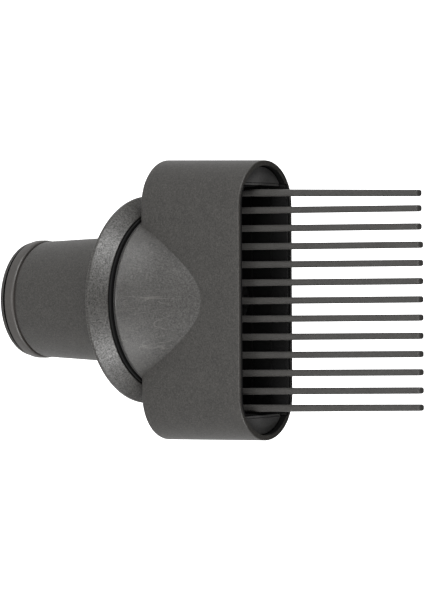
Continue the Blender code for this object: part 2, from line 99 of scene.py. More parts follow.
VIEW_SWING = math.radians(36.76)     # elevation above the flange's plane
VIEW_TIP = math.radians(0.85)
VIEW_ROLL = math.radians(-0.305)
VIEW_DISTANCE = 6.104
SENSOR = 36.0
PIXELS_PER_METRE = 2655.0
IMAGE_HEIGHT = 600
FAR_CLIP = 100.0
AIM_RIGHT = 24.23 * MM               # from the flange's centre to the middle of the view
AIM_UP = -0.12 * MM


def make_camera():
    right = Vector((0.0, math.sin(VIEW_SWING), math.cos(VIEW_SWING)))
    up = Vector((-math.cos(VIEW_TIP), math.cos(VIEW_SWING) * math.sin(VIEW_TIP),
                 -math.sin(VIEW_SWING) * math.sin(VIEW_TIP)))
    back = right.cross(up)
    turned_right = math.cos(VIEW_ROLL) * right + math.sin(VIEW_ROLL) * up
    turned_up = math.cos(VIEW_ROLL) * up - math.sin(VIEW_ROLL) * right
    aim = Vector((0.0, 0.0, FLANGE_FOOT)) + AIM_RIGHT * turned_right + AIM_UP * turned_up
    data = bpy.data.cameras.new("camera")
    data.sensor_width = SENSOR
    data.lens = PIXELS_PER_METRE * VIEW_DISTANCE * SENSOR / IMAGE_HEIGHT
    data.clip_end = FAR_CLIP
    camera = bpy.data.objects.new("camera", data)
    turn = Matrix((turned_right, turned_up, back)).transposed().to_4x4()
    camera.matrix_world = Matrix.Translation(aim + VIEW_DISTANCE * back) @ turn
    bpy.context.scene.collection.objects.link(camera)
    bpy.context.scene.camera = camera


WORLD_STRENGTH = 0.04
SOFTBOX_DISTANCE = 1.6
SOFTBOX_SIZE = (0.7, 0.5)
# Azimuth from the camera's side and elevation in degrees, and power. All but the first are in pairs.
SOFTBOXES = ((0, 10, 7.8), (35, 20, 4.7), (35, 45, 3.8), (65, 12, 4.1), (65, 32, 12.6), (95, 12, 3.0))
FLOOR_HALF = 3.0
FLOOR_Z = -0.05 * MM
FLOOR_ALBEDO = 0.3
FLOOR_ROUGHNESS = 0.9
FLOOR_GLOW = 0.55                    # what lights the part from below
CAMERA_SHINE = 1.0                   # extra white that only the camera sees, on the floor and beyond it
PAD_R = 20.0 * MM
PAD_Z = -0.03 * MM


def softbox(azimuth, elevation, power):
    """A soft light aimed at the head. Azimuth 0 is the camera's side."""
    data = bpy.data.lights.new("softbox", 'AREA')
    data.shape = 'RECTANGLE'
    data.size, data.size_y = SOFTBOX_SIZE
    data.energy = power
    light = bpy.data.objects.new("softbox", data)
    direction = Vector((math.sin(azimuth) * math.cos(elevation),
                        -math.cos(azimuth) * math.cos(elevation), math.sin(elevation)))
    light.location = Vector((0.0, 0.0, HEAD_FOOT)) + SOFTBOX_DISTANCE * direction
    light.rotation_euler = direction.to_track_quat('Z', 'Y').to_euler()
    bpy.context.scene.collection.objects.link(light)


def shine_for_camera(tree, glow, socket):
    """Sends a glow into a strength socket, with the extra white for what the camera sees directly."""
    shine = tree.nodes.new("ShaderNodeMath")
    shine.operation = 'MULTIPLY_ADD'
    shine.inputs[1].default_value = CAMERA_SHINE
    shine.inputs[2].default_value = glow
    tree.links.new(tree.nodes.new("ShaderNodeLightPath").outputs["Is Camera Ray"], shine.inputs[0])
    tree.links.new(shine.outputs["Value"], socket)


def stage_sheet(name, form, z, look):
    """A flat piece of the set, of one pale material. Gives that material."""
    mesh = bpy.data.meshes.new(name)
    form.to_mesh(mesh)
    form.free()
    sheet = bpy.data.objects.new(name, mesh)
    sheet.location.z = z
    bpy.context.scene.collection.objects.link(sheet)
    material = bpy.data.materials.new(look)
    material.use_nodes = True
    shader = material.node_tree.nodes["Principled BSDF"]
    shader.inputs["Base Color"].default_value = (FLOOR_ALBEDO, FLOOR_ALBEDO, FLOOR_ALBEDO, 1.0)
    shader.inputs["Roughness"].default_value = FLOOR_ROUGHNESS
    mesh.materials.append(material)
    return material


def make_floor():
    form = bmesh.new()
    bmesh.ops.create_grid(form, x_segments=1, y_segments=1, size=FLOOR_HALF)
    material = stage_sheet("floor", form, FLOOR_Z, "floor_white")
    shader = material.node_tree.nodes["Principled BSDF"]
    shader.inputs["Emission Color"].default_value = (1.0, 1.0, 1.0, 1.0)
    shine_for_camera(material.node_tree, FLOOR_GLOW, shader.inputs["Emission Strength"])


def make_pad():
    """A plain disc under the spigot, so that the glow of the floor doesn't shine up its bore."""
    form = bmesh.new()
    bmesh.ops.create_circle(form, cap_ends=True, segments=96, radius=PAD_R)
    stage_sheet("pad", form, PAD_Z, "pad_pale")


def make_world():
    world = bpy.data.worlds.new("studio")
    world.use_nodes = True
    background = world.node_tree.nodes["Background"]
    background.inputs["Color"].default_value = (1.0, 1.0, 1.0, 1.0)
    shine_for_camera(world.node_tree, WORLD_STRENGTH, background.inputs["Strength"])
    bpy.context.scene.world = world


def make_studio():
    bpy.context.scene.view_settings.view_transform = 'Standard'
    make_world()
    for azimuth, elevation, power in SOFTBOXES:
        for side in sorted({-azimuth, azimuth}):
            softbox(math.radians(side), math.radians(elevation), power)
    make_floor()
    make_pad()


# ---------------------------------------------------------------- materials

class Nodes:
    """Short ways to add and join shader nodes in one material."""

    def __init__(self, name):
        self.material = bpy.data.materials.new(name)
        self.material.use_nodes = True
        self.tree = self.material.node_tree
        self.shader = self.tree.nodes["Principled BSDF"]
        self.place = self.add("ShaderNodeTexCoord").outputs["Object"]

    def add(self, kind, **settings):
        node = self.tree.nodes.new(kind)
        for key, value in settings.items():
            setattr(node, key, value)
        return node

    def join(self, source, target):
        self.tree.links.new(source, target)

    def stretched(self, scale):
        mapping = self.add("ShaderNodeMapping")
        mapping.inputs["Scale"].default_value = scale
        self.join(self.place, mapping.inputs["Vector"])
        return mapping.outputs["Vector"]

    def noise(self, scale, detail=2.0, where=None, roughness=0.5):
        node = self.add("ShaderNodeTexNoise")
        node.inputs["Scale"].default_value = scale
        node.inputs["Detail"].default_value = detail
        node.inputs["Roughness"].default_value = roughness
        self.join(where or self.place, node.inputs["Vector"])
        return node.outputs["Fac"]

    def spread(self, value, from_low, from_high, to_low, to_high):
        node = self.add("ShaderNodeMapRange")
        self.join(value, node.inputs["Value"])
        for key, number in (("From Min", from_low), ("From Max", from_high),
                            ("To Min", to_low), ("To Max", to_high)):
            node.inputs[key].default_value = number
        return node.outputs["Result"]

    def vary(self, noise, to_low, to_high):
        return self.spread(noise, NOISE_LOW, NOISE_HIGH, to_low, to_high)

    def about_one(self, noise, change):
        return self.vary(noise, 1.0 - change, 1.0 + change)

    def math(self, operation, a, b):
        node = self.add("ShaderNodeMath", operation=operation)
        for socket, value in zip(node.inputs, (a, b)):
            if isinstance(value, (int, float)):
                socket.default_value = value
            else:
                self.join(value, socket)
        return node.outputs["Value"]

    def tint(self, colour, gain):
        """A colour made lighter or darker by a varying gain."""
        node = self.add("ShaderNodeVectorMath", operation='SCALE')
        node.inputs[0].default_value = colour
        self.join(gain, node.inputs["Scale"])
        return node.outputs["Vector"]

    def bump(self, height, strength, distance, after=None):
        node = self.add("ShaderNodeBump")
        node.inputs["Strength"].default_value = strength
        node.inputs["Distance"].default_value = distance
        self.join(height, node.inputs["Height"])
        if after is not None:
            self.join(after, node.inputs["Normal"])
        return node.outputs["Normal"]


NOISE_LOW, NOISE_HIGH = 0.3, 0.7     # nearly all of a noise's values lie between these
FLAKE_SCALE = 2600.0
CLOUD_SCALE, CLOUD_CHANGE = 140.0, 0.06
GRAIN_SCALE, GRAIN_HEIGHT = 1500.0, 0.06 * MM
MOTTLE_SCALE = 1700.0
MOTTLE_GLOSS = 0.12                  # change of roughness for a mottle of strength 1
# Scales of a noise round the axis and along it
SHEEN_SCALES = (9.0, 1400.0)
FLOW_SCALES, FLOW_WAVINESS = (60.0, 260.0), 1.2
HAIRLINE_SCALES, HAIRLINE_WIDTH = (5.0, 40.0), 0.012
HAIRLINE_PATCH_SCALE = 45.0
HAIRLINE_PATCH_EDGE = (0.52, 0.6)    # values of its noise between which a patch fades in
SCRATCH_SCALE, SCRATCH_HEIGHT = 400.0, 0.03 * MM


def polar_place(nodes, turns_scale, axis_scale):
    """Coordinates that run round the axis, so that a noise on them makes marks round it."""
    split = nodes.add("ShaderNodeSeparateXYZ")
    nodes.join(nodes.place, split.inputs[0])
    angle = nodes.math('ARCTAN2', split.outputs["X"], split.outputs["Y"])
    join = nodes.add("ShaderNodeCombineXYZ")
    nodes.join(nodes.math('MULTIPLY', angle, turns_scale), join.inputs["X"])
    nodes.join(nodes.math('MULTIPLY', split.outputs["Z"], axis_scale), join.inputs["Y"])
    return join.outputs["Vector"]


def flake_gain(nodes, flake):
    """A gain of colour for each small cell of the surface, from 1 - flake to 1 + flake."""
    cells = nodes.add("ShaderNodeTexVoronoi")
    cells.inputs["Scale"].default_value = FLAKE_SCALE
    nodes.join(nodes.place, cells.inputs["Vector"])
    split = nodes.add("ShaderNodeSeparateColor")
    nodes.join(cells.outputs["Color"], split.inputs["Color"])
    return nodes.spread(split.outputs["Red"], 0.0, 1.0, 1.0 - flake, 1.0 + flake)


def flow_lines(nodes):
    """Fine wavy lines that run along the axis, as a value about 0.5."""
    node = nodes.add("ShaderNodeTexNoise")
    node.inputs["Scale"].default_value = 1.0
    node.inputs["Detail"].default_value = 2.0
    node.inputs["Distortion"].default_value = FLOW_WAVINESS
    nodes.join(polar_place(nodes, *FLOW_SCALES), node.inputs["Vector"])
    return node.outputs["Fac"]


def hairlines(nodes):
    """A few thin curved scratches: 1 on a line and 0 off it."""
    course = nodes.noise(1.0, 1.0, polar_place(nodes, *HAIRLINE_SCALES))
    off_line = nodes.math('ABSOLUTE', nodes.math('SUBTRACT', course, 0.5), 0.0)
    line = nodes.spread(off_line, 0.0, HAIRLINE_WIDTH, 1.0, 0.0)
    patch = nodes.spread(nodes.noise(HAIRLINE_PATCH_SCALE, 1.0), *HAIRLINE_PATCH_EDGE, 0.0, 1.0)
    return nodes.math('MULTIPLY', line, patch)


def gloss_and_painted_light_along_axis(nodes, rough, gain, gloss_and_painted_light):
    """Roughness and gain of colour, changed along the axis; the gain of colour is painted light and
    shade.

    The last argument holds a pair of heights, a pair of changes of roughness and a pair of gains of
    colour: from the first height to the second, the roughness and the colour go from one to the other.
    The gains of colour are painted light and painted shade along the axis, not a colour of the plastic.
    """
    split = nodes.add("ShaderNodeSeparateXYZ")
    nodes.join(nodes.place, split.inputs[0])
    height = split.outputs["Z"]
    heights, dulling, painted_light_gains = gloss_and_painted_light
    rough = nodes.math('ADD', rough, nodes.spread(height, *heights, *dulling))
    gain = nodes.math('MULTIPLY', gain, nodes.spread(height, *heights, *painted_light_gains))
    return rough, gain


def moulded_plastic(name, colour, roughness, flake=0.25, grain=0.12, mottle=0.1, sheen_marks=0.0,
                    specular=0.5, relief=0.0, flow=0.0, hairline=0.0, gloss_and_painted_light=None, sparkle=0.0):
    """Satin plastic with a fine moulded grain, small flakes, mottle and faint flow marks.

    relief is the height of the mottle's own texture, in metres. flow is the strength of lines along
    the axis, sheen_marks that of lines round it, and hairline that of a few thin scratches. sparkle
    is how much the mottle varies the reflection. The argument after hairline gives heights, changes of
    roughness and gains of colour along the axis, as for the function just above; its gains of colour
    are painted light and shade.
    """
    nodes = Nodes(name)
    gain = nodes.math('MULTIPLY', flake_gain(nodes, flake),
                      nodes.about_one(nodes.noise(CLOUD_SCALE, 3.0), CLOUD_CHANGE))
    spots = nodes.noise(MOTTLE_SCALE, 2.0, roughness=0.7)
    gain = nodes.math('MULTIPLY', gain, nodes.about_one(spots, mottle))
    gloss = mottle * MOTTLE_GLOSS
    rough = nodes.vary(spots, roughness + gloss, roughness - gloss)
    surface = nodes.bump(nodes.noise(GRAIN_SCALE, 3.0), grain, GRAIN_HEIGHT)
    if sheen_marks > 0.0:
        marks = nodes.noise(1.0, 3.0, polar_place(nodes, *SHEEN_SCALES))
        gain = nodes.math('MULTIPLY', gain, nodes.about_one(marks, sheen_marks))
    if flow > 0.0:
        lines = flow_lines(nodes)
        gain = nodes.math('MULTIPLY', gain, nodes.about_one(lines, flow))
        surface = nodes.bump(lines, 1.0, relief, surface)
    if hairline > 0.0:
        gain = nodes.math('ADD', gain, nodes.math('MULTIPLY', hairlines(nodes), hairline))
    if gloss_and_painted_light:
        rough, gain = gloss_and_painted_light_along_axis(nodes, rough, gain, gloss_and_painted_light)
    if relief > 0.0:
        surface = nodes.bump(spots, 1.0, relief, surface)
    nodes.join(nodes.tint(colour, gain), nodes.shader.inputs["Base Color"])
    nodes.join(rough, nodes.shader.inputs["Roughness"])
    nodes.join(surface, nodes.shader.inputs["Normal"])
    nodes.shader.inputs["Specular IOR Level"].default_value = specular
    if sparkle > 0.0:
        shine = nodes.vary(spots, specular * (1.0 - sparkle), specular * (1.0 + sparkle))
        nodes.join(shine, nodes.shader.inputs["Specular IOR Level"])
    return nodes.material


def metal(name, colour, roughness, along):
    """Bright metal with fine scratches that run one way."""
    nodes = Nodes(name)
    lines = nodes.noise(SCRATCH_SCALE, 4.0, nodes.stretched(along))
    tone = nodes.vary(lines, 0.9, 1.05)
    nodes.join(nodes.tint(colour, tone), nodes.shader.inputs["Base Color"])
    dullness = nodes.vary(lines, roughness - 0.06, roughness + 0.08)
    nodes.join(dullness, nodes.shader.inputs["Roughness"])
    nodes.join(nodes.bump(lines, 0.1, SCRATCH_HEIGHT), nodes.shader.inputs["Normal"])
    nodes.shader.inputs["Metallic"].default_value = 1.0
    return nodes.material


# ---------------------------------------------------------------- mesh tools

def arc(centre_x, centre_y, radius, start, end, steps):
    points = []
    for i in range(steps + 1):
        angle = start + (end - start) * i / steps
        points.append((centre_x + radius * math.cos(angle), centre_y + radius * math.sin(angle)))
    return points


def quarter_turn(steps):
    """Pairs that go from (0, 1) to (1, 0) along a quarter of a circle."""
    angles = [math.pi / 2 * i / steps for i in range(steps + 1)]
    return [(1 - math.cos(angle), 1 - math.sin(angle)) for angle in angles]


def fillet(corners, steps=5):
    """A closed outline from corners (x, y, radius), each rounded by its own radius."""
    outline = []
    count = len(corners)
    for i, (x, y, radius) in enumerate(corners):
        here = Vector((x, y))
        if radius <= 0.0:
            outline.append((x, y))
            continue
        before = (Vector(corners[i - 1][:2]) - here).normalized()
        after = (Vector(corners[(i + 1) % count][:2]) - here).normalized()
        half = before.angle(after) / 2
        reach = radius / math.tan(half)
        centre = here + (before + after).normalized() * (radius / math.sin(half))
        start = here + before * reach - centre
        end = here + after * reach - centre
        sweep = start.angle_signed(end)
        for k in range(steps + 1):
            part = -sweep * k / steps
            spun = Vector((start.x * math.cos(part) - start.y * math.sin(part),
                           start.x * math.sin(part) + start.y * math.cos(part)))
            outline.append(tuple(centre + spun))
    return outline


def mesh_piece(name, form, material, body, node, sharp=30.0, others=()):
    """A visual piece in place of a CAD node. Faces marked with index 1 and up get the other materials."""
    bmesh.ops.remove_doubles(form, verts=form.verts, dist=MERGE)
    bmesh.ops.recalc_face_normals(form, faces=form.faces)
    mesh = bpy.data.meshes.new(name)
    form.to_mesh(mesh)
    form.free()
    mesh.shade_smooth()
    mesh.set_sharp_from_angle(angle=math.radians(sharp))
    for look in (material, *others):
        mesh.materials.append(look)
    piece = bpy.data.objects.new(name, mesh)
    bpy.context.scene.collection.objects.link(piece)
    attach(piece, body)
    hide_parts(node)


def tube_of_loops(loops, around=True, form=None, inner_from=None, inner_look=1):
    """Quads between neighbouring loops; with around, the last loop joins the first.

    Faces from the loop numbered inner_from onwards get the material numbered inner_look.
    """
    form = form or bmesh.new()
    rows = [[form.verts.new(point) for point in loop] for loop in loops]
    pairs = list(zip(rows, rows[1:]))
    if around:
        pairs.append((rows[-1], rows[0]))
    for number, (row_a, row_b) in enumerate(pairs):
        count = len(row_a)
        for i in range(count):
            k = (i + 1) % count
            face = form.faces.new((row_a[i], row_a[k], row_b[k], row_b[i]))
            if inner_from is not None and number >= inner_from:
                face.material_index = inner_look
    return form


def bar_of_loops(loops, form=None):
    """A solid through the loops, with a flat face over the first and the last of them."""
    form = tube_of_loops(loops, around=False, form=form)
    form.verts.ensure_lookup_table()
    count, total = len(loops[0]), len(form.verts)
    first = total - count * len(loops)
    form.faces.new(form.verts[first:first + count])
    form.faces.new(form.verts[total - count:])
    return form


def ring_loops(corners, steps=RING_STEPS, centre_x=0.0):
    loops = []
    for radius, z in fillet(corners):
        loops.append([(centre_x + radius * math.cos(2 * math.pi * i / steps),
                       radius * math.sin(2 * math.pi * i / steps), z) for i in range(steps)])
    return loops


def wall_levels(low_z, high_z, edge, steps=3):
    """Pairs (inset, height) up a wall whose two ends are rounded."""
    levels = [(edge * inset, low_z + edge * rise) for rise, inset in quarter_turn(steps)]
    return levels + [(inset, low_z + high_z - z) for inset, z in reversed(levels)]


def plate(outline, low_z, high_z, edge, hole=None, form=None):
    """A slab with rounded edges. outline and hole give their points from an inset."""
    levels = wall_levels(low_z, high_z, edge)
    loops = [[(x, y, z) for x, y in outline(inset)] for inset, z in levels]
    if hole:
        loops += [[(x, y, z) for x, y in hole(inset)] for inset, z in reversed(levels)]
        return tube_of_loops(loops, form=form)
    return bar_of_loops(loops, form)


def sector_outline(inner, outer, middle, half_angle, steps):
    """The outline of a ring's sector, as a function of its inset."""
    def outline(inset):
        points = arc(0.0, 0.0, outer - inset, middle - half_angle + inset / outer,
                     middle + half_angle - inset / outer, steps)
        return points + arc(0.0, 0.0, inner + inset, middle + half_angle - inset / inner,
                            middle - half_angle + inset / inner, steps)
    return outline


def turned(name, corners, material, body, node):
    """A ring turned about Z from a rounded outline of (radius, height, fillet) corners."""
    mesh_piece(name, tube_of_loops(ring_loops(corners)), material, body, node)


# ---------------------------------------------------------------- collar

SLEEVE_R = 19.9 * MM
GROOVE_IN = SLEEVE_R + GAP
CHANNEL_IN, CHANNEL_OUT = 33.2 * MM, 35.8 * MM


def make_end_ring(looks):
    """The lip and its sleeve. Where they face the groove of the seal, they get the seal's black as
    painted shade.
    """
    lip_r, lip_top = high("end_ring").x, 1.2 * MM
    sleeve_top, sleeve_bore = high("end_ring").z, 18.6 * MM
    lip_edge, sleeve_edge = 0.12 * MM, 0.2 * MM
    form = tube_of_loops(ring_loops(
        [(sleeve_bore, 0.0, 0.3 * MM), (lip_r, 0.0, lip_edge), (lip_r, lip_top, lip_edge),
         (SLEEVE_R, lip_top, 0.1 * MM), (SLEEVE_R, sleeve_top, sleeve_edge),
         (sleeve_bore, sleeve_top, sleeve_edge)]))
    margin = 0.02 * MM
    # painted shade: the faces in the seal's groove get the seal's black
    for face in form.faces:
        middle = face.calc_center_median()
        if middle.z > lip_top - margin and middle.xy.length > SLEEVE_R - margin:
            face.material_index = 1
    mesh_piece("rear_end_ring", form, looks["body"], "collar", "end_ring", others=(looks["rubber"],))


def make_seal(looks):
    foot, top, radius = low("spigot_seal").z, high("spigot_seal").z, high("spigot_seal").x
    inner_edge, outer_edge = 0.1 * MM, 0.25 * MM
    turned("groove_seal",
           [(GROOVE_IN, foot, inner_edge), (radius, foot, outer_edge),
            (radius, top, outer_edge), (GROOVE_IN, top, inner_edge)],
           looks["rubber"], "collar", "spigot_seal")


def make_guide_band(looks):
    """A band that rolls in to a narrower neck at its top, round a quarter of an ellipse."""
    foot, top, radius = low("guide_band").z, high("guide_band").z, high("guide_band").x
    shoulder_foot, shoulder_top = 4.9 * MM, 6.3 * MM
    shoulder_r, neck_r = 21.45 * MM, 20.9 * MM
    edge, steps = 0.1 * MM, 10
    profile = [(GROOVE_IN, foot, edge), (radius - 0.05 * MM, foot, 0.3 * MM)]
    for i in range(steps + 1):
        angle = math.pi / 2 * i / steps
        profile.append((shoulder_r + (radius - shoulder_r) * math.cos(angle),
                        shoulder_foot + (shoulder_top - shoulder_foot) * math.sin(angle), 0.0))
    profile += [(neck_r, shoulder_top, 0.0), (neck_r, top, edge), (GROOVE_IN, top, edge)]
    turned("spigot_guide_band", profile, looks["band"], "collar", "guide_band")


def make_spigot_tube(looks):
    wall, foot_r = 1.6 * MM, 21.85 * MM
    top_edge = 0.3 * MM
    turned("tapered_spigot",
           [(foot_r - wall, TUBE_FOOT, 0.2 * MM), (foot_r, TUBE_FOOT, 0.35 * MM),
            (TUBE_TOP_R, TUBE_TOP, top_edge), (TUBE_TOP_R - wall, TUBE_TOP, top_edge)],
           looks["tube"], "collar", "spigot_tube")


def make_flange(looks):
    """The conical flange, open below for its magnets. The faces of its mouth, in the gap under the cone,
    are drawn black as painted shade.
    """
    rim = 1.25 * MM
    top_r, bore_r = 34.36 * MM, 32.4 * MM
    mouth_r, mouth_foot = 34.0 * MM, 59.5 * MM
    seat, channel_top = FLANGE_FOOT + 1.05 * MM, 57.3 * MM
    fine, soft, mouth_edge = 0.1 * MM, 0.2 * MM, 0.12 * MM
    profile = [
        (bore_r, seat, soft), (CHANNEL_IN, seat, fine), (CHANNEL_IN, channel_top, fine),
        (CHANNEL_OUT, channel_top, fine), (CHANNEL_OUT, seat, fine),
        (FLANGE_R - rim, seat, fine), (FLANGE_R - rim, FLANGE_FOOT, 0.15 * MM),
        (FLANGE_R, FLANGE_FOOT, 0.3 * MM), (FLANGE_R, FLANGE_FOOT + rim, soft),
        (top_r, FLANGE_TOP, mouth_edge), (mouth_r, FLANGE_TOP, mouth_edge),
        (mouth_r, mouth_foot, fine), (bore_r, mouth_foot, soft)]
    points_a_corner, corners_before_mouth = 6, 11
    mouth_from = corners_before_mouth * points_a_corner - 2      # from within the edge's own fillet
    # painted shade: the faces from the mouth on get the black look
    form = tube_of_loops(ring_loops(profile), inner_from=mouth_from)
    mesh_piece("conical_flange", form, looks["flange"], "collar", "flange_ring",
               others=(looks["black"],))


def make_back_plate(looks):
    foot, top = low("back_plate").z, high("back_plate").z
    radius, bore = high("back_plate").x, 31.0 * MM
    foot_edge, top_edge = 0.2 * MM, 0.1 * MM
    turned("flange_back_plate",
           [(bore, foot, foot_edge), (radius, foot, foot_edge),
            (radius, top, top_edge), (bore, top, top_edge)],
           looks["black"], "collar", "back_plate")


def make_neck(looks):
    foot, top = low("neck_tube").z, high("neck_tube").z
    base_r, neck_r, bore = high("neck_tube").x, 28.6 * MM, 27.2 * MM
    base_top = 61.3 * MM
    groove_foot, groove_top, groove_r = 64.8 * MM, 65.7 * MM, 28.0 * MM
    soft, neck_edge, groove_edge = 0.2 * MM, 0.15 * MM, 0.05 * MM
    # painted shade: the neck's black is made darker still for the gap under the cone
    turned("swivel_neck",
           [(bore, foot, 0.4 * MM), (base_r, foot, soft),
            (base_r, base_top, soft), (neck_r, base_top, neck_edge),
            (neck_r, groove_foot, groove_edge), (groove_r, groove_foot, groove_edge),
            (groove_r, groove_top, groove_edge), (neck_r, groove_top, groove_edge),
            (neck_r, top, neck_edge), (bore, top, 0.3 * MM)],
           looks["neck"], "collar", "neck_tube")


def make_neck_clip(looks):
    foot, top = low("retaining_ring").z, high("retaining_ring").z
    inner, outer, half_opening = 28.15 * MM, 29.5 * MM, math.radians(9)
    clip = sector_outline(inner, outer, math.pi, math.pi - half_opening, RING_STEPS)
    mesh_piece("neck_clip", plate(clip, foot, top, 0.1 * MM), looks["steel"], "collar",
               "retaining_ring")


def make_keeper(looks):
    foot, top = low("keeper_ring").z, high("keeper_ring").z
    inner, outer, edge = CHANNEL_IN + GAP, CHANNEL_OUT - GAP, 0.1 * MM
    turned("magnet_keeper",
           [(inner, foot, edge), (outer, foot, edge), (outer, top, edge), (inner, top, edge)],
           looks["steel"], "collar", "keeper_ring")


def make_magnets(looks):
    count, half_angle = 8, math.radians(15)
    for i in range(count):
        node = "magnet_%d" % (i + 1)
        shape = sector_outline(CHANNEL_IN + GAP, CHANNEL_OUT - GAP, 2 * math.pi * i / count,
                               half_angle, 12)
        mesh_piece("arc_" + node, plate(shape, low(node).z, high(node).z, 0.2 * MM),
                   looks["magnet"], "collar", node)


def make_inlet_spider(looks):
    foot, top = low("inlet_spider").z, high("inlet_spider").z
    edge = 0.3 * MM
    hub_in, hub_out, rim_in, rim_out = 24.7 * MM, 26.0 * MM, 31.0 * MM, 32.1 * MM
    half_vane = 0.6 * MM
    form = None
    for inner, outer in ((hub_in, hub_out), (rim_in, rim_out)):
        ring = [(inner, foot, edge), (outer, foot, edge), (outer, top, edge), (inner, top, edge)]
        form = tube_of_loops(ring_loops(ring), form=form)
    count = 8
    lap = 0.4 * MM
    for i in range(count):
        turn = 2 * math.pi * (i + 0.5) / count
        outline = sector_outline(hub_out - lap, rim_in + lap, turn, half_vane / rim_in, 4)
        plate(outline, foot, top, edge, form=form)
    mesh_piece("vaned_inlet", form, looks["black"], "collar", "inlet_spider")


def make_collar(looks):
    make_end_ring(looks)
    make_seal(looks)
    make_guide_band(looks)
    make_spigot_tube(looks)
    make_flange(looks)
    make_back_plate(looks)
    make_neck(looks)
    make_magnets(looks)
    make_inlet_spider(looks)
    make_neck_clip(looks)
    make_keeper(looks)


# ---------------------------------------------------------------- head

def cone_radius(z):
    return CONE_R - CONE_SLOPE * (z - HEAD_FOOT)


CONE_COLUMNS, FLAT_COLUMNS, ARC_COLUMNS, END_COLUMNS = 40, 40, 16, 24


def quarter_outline(radius, cone_r, step_x, end_radius):
    """From the middle of the front face to the far end at +X, as (x, y) with y to the front.

    The face and the first stretch of the round end have one radius, and the end beyond step_x another.
    A cone wider than the face makes its own arc over the middle.
    """
    points = []
    crease_x = math.sqrt(max(cone_r * cone_r - radius * radius, 0.0))
    crease = math.atan2(crease_x, radius)
    for i in range(CONE_COLUMNS):
        if crease_x > 0.0:
            angle = crease * i / CONE_COLUMNS
            points.append((cone_r * math.sin(angle), cone_r * math.cos(angle)))
        else:
            points.append((0.0, radius))
    for i in range(FLAT_COLUMNS):
        x = crease_x + (END_CENTRE - crease_x) * i / FLAT_COLUMNS
        points.append((x, radius))
    first_stop = math.asin(min((step_x - END_CENTRE) / radius, 1.0))
    for i in range(ARC_COLUMNS + 1):
        angle = first_stop * i / ARC_COLUMNS
        points.append((END_CENTRE + radius * math.sin(angle), radius * math.cos(angle)))
    second_start = math.asin(min((step_x - END_CENTRE) / end_radius, 1.0))
    for i in range(END_COLUMNS + 1):
        angle = second_start + (math.pi / 2 - second_start) * i / END_COLUMNS
        points.append((END_CENTRE + end_radius * math.sin(angle), end_radius * math.cos(angle)))
    return points


def whole_loop(quarter, z):
    """The full outline from its front right quarter."""
    right_front = [(x, -y) for x, y in quarter]
    right_back = [(x, y) for x, y in reversed(quarter[:-1])]
    left_back = [(-x, y) for x, y in quarter[1:]]
    left_front = [(-x, -y) for x, y in reversed(quarter[1:-1])]
    return [(x, y, z) for x, y in right_front + right_back + left_back + left_front]


def head_loop(z, slot_inset, end_inset, cone_inset):
    quarter = quarter_outline(HALF_DEPTH - slot_inset, cone_radius(z) - cone_inset, SLOT_X,
                              HALF_DEPTH - end_inset)
    return whole_loop(quarter, z)


def outer_wall_loops():
    """The shell's outside, from the foot of the cone to the inner edge of the mouth."""
    edge, cone_edge = 0.6 * MM, 0.12 * MM
    outer_edge, inner_edge = 0.6 * MM, 0.15 * MM
    steps = 6
    loops = []
    for rise, inset in quarter_turn(steps):
        loops.append(head_loop(HEAD_FOOT + edge * rise, edge * inset, edge * inset, cone_edge * inset))
    apex = HEAD_FOOT + (CONE_R - HALF_DEPTH) / CONE_SLOPE
    rows = 40
    for i in range(1, rows + 1):
        loops.append(head_loop(HEAD_FOOT + edge + (apex - HEAD_FOOT - edge) * i / rows, 0.0, 0.0, 0.0))
    loops.append(head_loop((apex + MOUTH) / 2, 0.0, 0.0, 0.0))
    for inset, drop in quarter_turn(steps):
        loops.append(head_loop(MOUTH - outer_edge * drop, outer_edge * inset, outer_edge * inset, 0.0))
    for drop, inset in quarter_turn(steps):
        loops.append(head_loop(MOUTH - inner_edge * drop, SLOT_WALL - inner_edge * inset,
                               END_WALL - inner_edge * inset, 0.0))
    return loops


def inner_wall_loops():
    """The shell's inside, from below the mouth down to the foot of the cone."""
    loops = [head_loop(SLOT_FOOT, SLOT_WALL, END_WALL, CONE_WALL),
             head_loop(SLOT_FOOT, END_WALL, END_WALL, CONE_WALL)]
    apex = HEAD_FOOT + (CONE_R - CONE_WALL - HALF_DEPTH + END_WALL) / CONE_SLOPE
    rows = 12
    for i in range(rows + 1):
        loops.append(head_loop(apex + (HEAD_FOOT - apex) * i / rows, END_WALL, END_WALL, CONE_WALL))
    return loops


def make_outer_shell(looks):
    """The shell in one piece with its rim. Its cone has its own look; its inside gets the black look as
    painted shade, and its rim a darker grey as painted shade under the cone.
    """
    outside = outer_wall_loops()
    # painted shade: the shell's inside, from the mouth's inner edge down, gets the black look
    form = tube_of_loops(outside + inner_wall_loops(), inner_from=len(outside) - 1)
    margin = 0.001 * MM
    for face in form.faces:
        if face.material_index == 0 and abs(face.calc_center_median().y) > HALF_DEPTH + margin:
            face.material_index = 2
    groove, lap, fine = 0.2 * MM, 0.05 * MM, 0.05 * MM
    neck_r, rim_top = RIM_R - 0.4 * MM, HEAD_FOOT - groove
    rim = [(RIM_BORE_R, RIM_FOOT, 0.2 * MM), (RIM_R, RIM_FOOT, 0.3 * MM), (RIM_R, rim_top, 0.1 * MM),
           (neck_r, rim_top, fine), (neck_r, HEAD_FOOT + lap, 0.0), (RIM_BORE_R, HEAD_FOOT + lap, 0.0)]
    # painted shade: the rim, part of the shell, is drawn a darker grey in the gap under the cone
    tube_of_loops(ring_loops(rim), form=form, inner_from=0, inner_look=3)
    mesh_piece("head_shell", form, looks["shell"], "head", "outer_shell", sharp=22.0,
               others=(looks["black"], looks["cone"], looks["rim"]))


